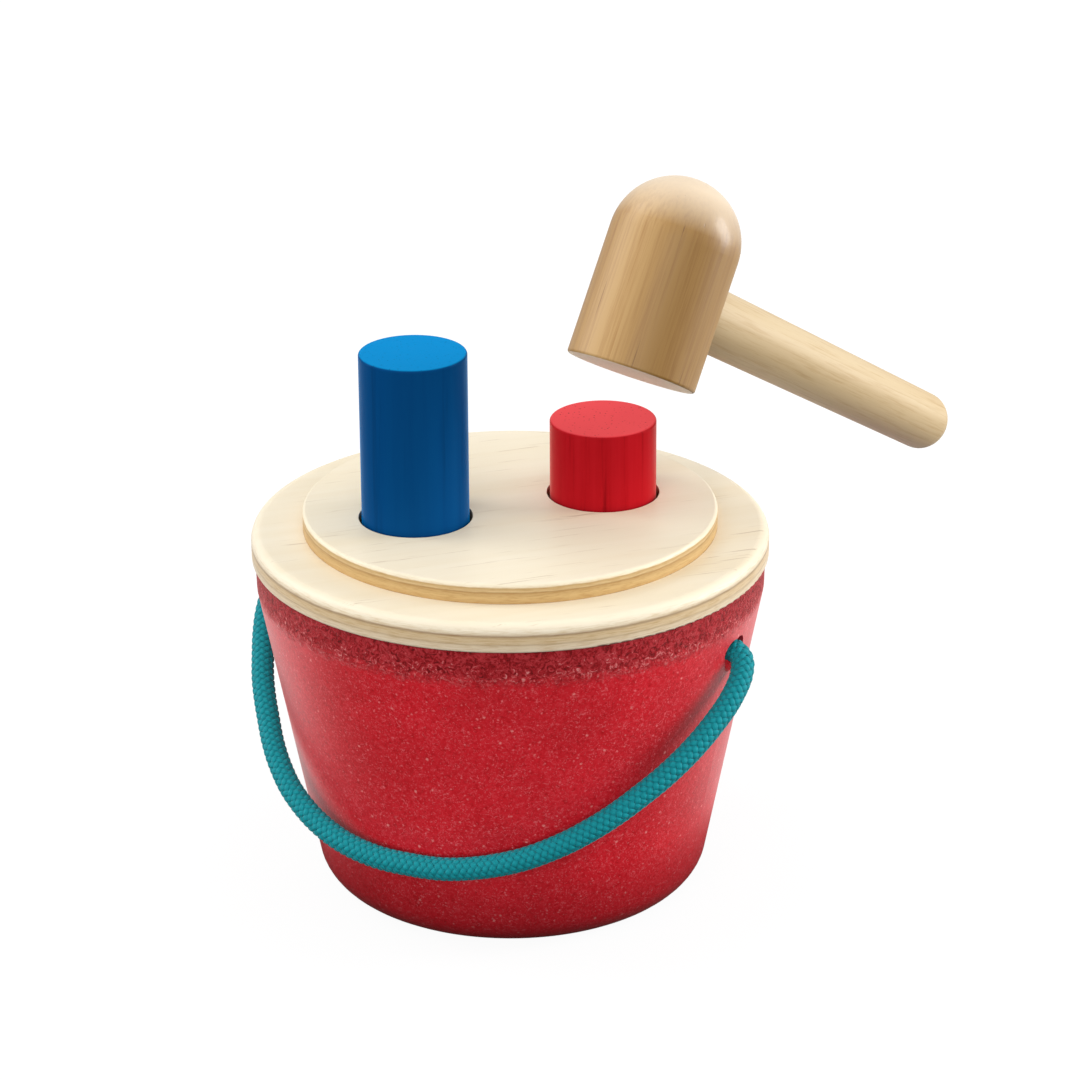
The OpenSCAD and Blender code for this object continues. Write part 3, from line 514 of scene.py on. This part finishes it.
# Handle: cream sapwood with fine grain along it
sapwood, tree, at = new_finish("rubberwood_sapwood_lacquered", IOR=1.5, Specular_IOR_Level=0.4)
lie = put(tree, "Mapping", {"Vector": at.outputs["Object"], "Location": hammer_at, "Scale": (1, 1, 24),
                            "Rotation": (0, hammer_lean + math.radians(90), hammer_turn)},
          vector_type="TEXTURE").outputs["Vector"]
tone = put(tree, "TexNoise", {"Vector": lie, "Scale": 1 / (7 * mm), "Detail": 3.0}).outputs["Fac"]
wood = put(tree, "ValToRGB", {"Fac": tone},
           stops=[(0.3, "#C2A87E"), (0.5, "#CAB188"), (0.7, "#D1BB95")]).outputs["Color"]
fine = put(tree, "TexNoise", {"Vector": lie, "Scale": 1 / (0.9 * mm), "Detail": 3.0,
                              "Roughness": 0.65}).outputs["Fac"]
fine_tint = put(tree, "ValToRGB", {"Fac": fine}, stops=[(0.3, "#E4D6BE"), (0.5, "#FFFFFF")]).outputs["Color"]
wood = put(tree, "Mix", {0: 0.7, 6: wood, 7: fine_tint}, data_type="RGBA", blend_type="MULTIPLY").outputs[2]
shine = put(tree, "MapRange", {"Value": fine, "To Min": 0.44, "To Max": 0.56}).outputs["Result"]
coat(sapwood, wood, shine, fine, 0.05 * mm)
dress(sapwood, "hammer_handle")


# Floor: a sheet of white paper that the pail stands on. It glows white to the camera and in reflections, dimmed by
# painted shade close to the pail and, in reflections, towards the camera, and keeps the pail's soft shadow.
sheet_half, camera_turn = 6.0, math.radians(26.3)
sheet = bmesh.new()
bmesh.ops.create_grid(sheet, x_segments=1, y_segments=1, size=sheet_half)
floor_mesh = bpy.data.meshes.new("floor")
sheet.to_mesh(floor_mesh)
sheet.free()
floor = bpy.data.objects.new("floor", floor_mesh)
bpy.context.scene.collection.objects.link(floor)
paper, tree, at = new_finish("white_paper", Specular_IOR_Level=0.0, Roughness=0.9, Base_Color=linear("#484848"),
                             Emission_Color=linear(1.0))
rays = put(tree, "LightPath", {})
away = put(tree, "VectorMath", {0: at.outputs["Object"]}, operation="LENGTH").outputs["Value"]
# Painted shade: to the camera the floor glows a little less close to the pail, a faint painted shadow round it
plain = put(tree, "MapRange", {"Value": away, "From Min": 80 * mm, "From Max": 300 * mm,
                               "To Min": 0.94, "To Max": 1.0}).outputs["Result"]
# Painted reflection: in reflections the floor glows brightly behind the pail, and painted shade dims it towards
# the camera and close to the pail
backward = (-math.sin(camera_turn), math.cos(camera_turn), 0)
painted_glow_behind = put(tree, "VectorMath", {0: at.outputs["Object"], 1: backward}, operation="DOT_PRODUCT").outputs["Value"]
painted_glow_behind = put(tree, "MapRange", {"Value": painted_glow_behind, "From Min": -60 * mm, "From Max": 40 * mm,
                                "To Min": 0.05, "To Max": 1.0}).outputs["Result"]
clear = put(tree, "MapRange", {"Value": away, "From Min": 72 * mm, "From Max": 92 * mm}).outputs["Result"]
painted_reflected_floor = put(tree, "Math", {0: painted_glow_behind, 1: clear}, operation="MULTIPLY").outputs[0]
bounced = put(tree, "Math", {0: rays.outputs["Is Glossy Ray"], 1: rays.outputs["Is Transmission Ray"]},
              operation="MAXIMUM").outputs[0]
painted_reflected_floor = put(tree, "Math", {0: bounced, 1: painted_reflected_floor}, operation="MULTIPLY").outputs[0]
seen = put(tree, "Math", {0: rays.outputs["Is Camera Ray"], 1: plain, 2: painted_reflected_floor},
           operation="MULTIPLY_ADD").outputs[0]
tree.links.new(seen, tree.nodes["Principled BSDF"].inputs["Emission Strength"])
dress(paper, floor)


# Light: a pale room with a large soft box overhead, a tall one at each side and a weak fill from the front.
# The level is that of plain daylight, at which a colour looks as it is.
room_fill, aim = 0.4, Vector((0, 0, 0.1))
world = bpy.data.worlds.new("white_cove")
world.use_nodes = True
bpy.context.scene.world = world
tree = world.node_tree
rays = put(tree, "LightPath", {})
bounced = put(tree, "Math", {0: rays.outputs["Is Glossy Ray"], 1: rays.outputs["Is Transmission Ray"]},
              operation="MAXIMUM").outputs[0]
shown = put(tree, "Math", {0: rays.outputs["Is Camera Ray"], 1: bounced}, operation="MAXIMUM").outputs[0]
cove = put(tree, "Math", {0: shown, 1: room_fill}, operation="MAXIMUM").outputs[0]
tree.links.new(cove, tree.nodes["Background"].inputs["Strength"])
tree.nodes["Background"].inputs["Color"].default_value = linear(1.0)


def soft_box(name, at, width, height, power):
    """A soft box that faces the pail."""
    lamp = bpy.data.lights.new(name, "AREA")
    lamp.shape, lamp.size, lamp.size_y, lamp.energy = "RECTANGLE", width, height, power
    box = bpy.data.objects.new(name, lamp)
    box.location = at
    box.rotation_euler = (aim - Vector(at)).to_track_quat("-Z", "Y").to_euler()
    bpy.context.scene.collection.objects.link(box)


soft_box("overhead_soft_box", at=(0.05, 0.0, 1.35), width=1.9, height=1.9, power=7.8)
soft_box("right_soft_box", at=(0.87, 0.54, 0.34), width=0.4, height=0.6, power=9)
soft_box("left_soft_box", at=(-0.95, -0.25, 0.6), width=0.5, height=1.1, power=6.5)
soft_box("front_fill", at=(0.4, -1.3, 0.5), width=1.2, height=0.8, power=10)


# Camera: a long lens from the front right and above, as in the photograph. Its place, turn, tilt and roll were
# fitted to the outlines of the lid, the pegs and the pail.
camera_tilt, camera_roll = math.radians(67.54), math.radians(-0.33)
lens = bpy.data.cameras.new("camera")
lens.sensor_width, lens.lens = 36, 130
camera = bpy.data.objects.new("camera", lens)
camera.location = (487.0 * mm, -965.3 * mm, 554.4 * mm)
view = Quaternion((0, 0, 1), camera_turn) @ Quaternion((1, 0, 0), camera_tilt)
camera.rotation_euler = (view @ Quaternion((0, 0, 1), camera_roll)).to_euler()
bpy.context.scene.collection.objects.link(camera)
bpy.context.scene.camera = camera
bpy.context.scene.view_settings.view_transform = "Standard"
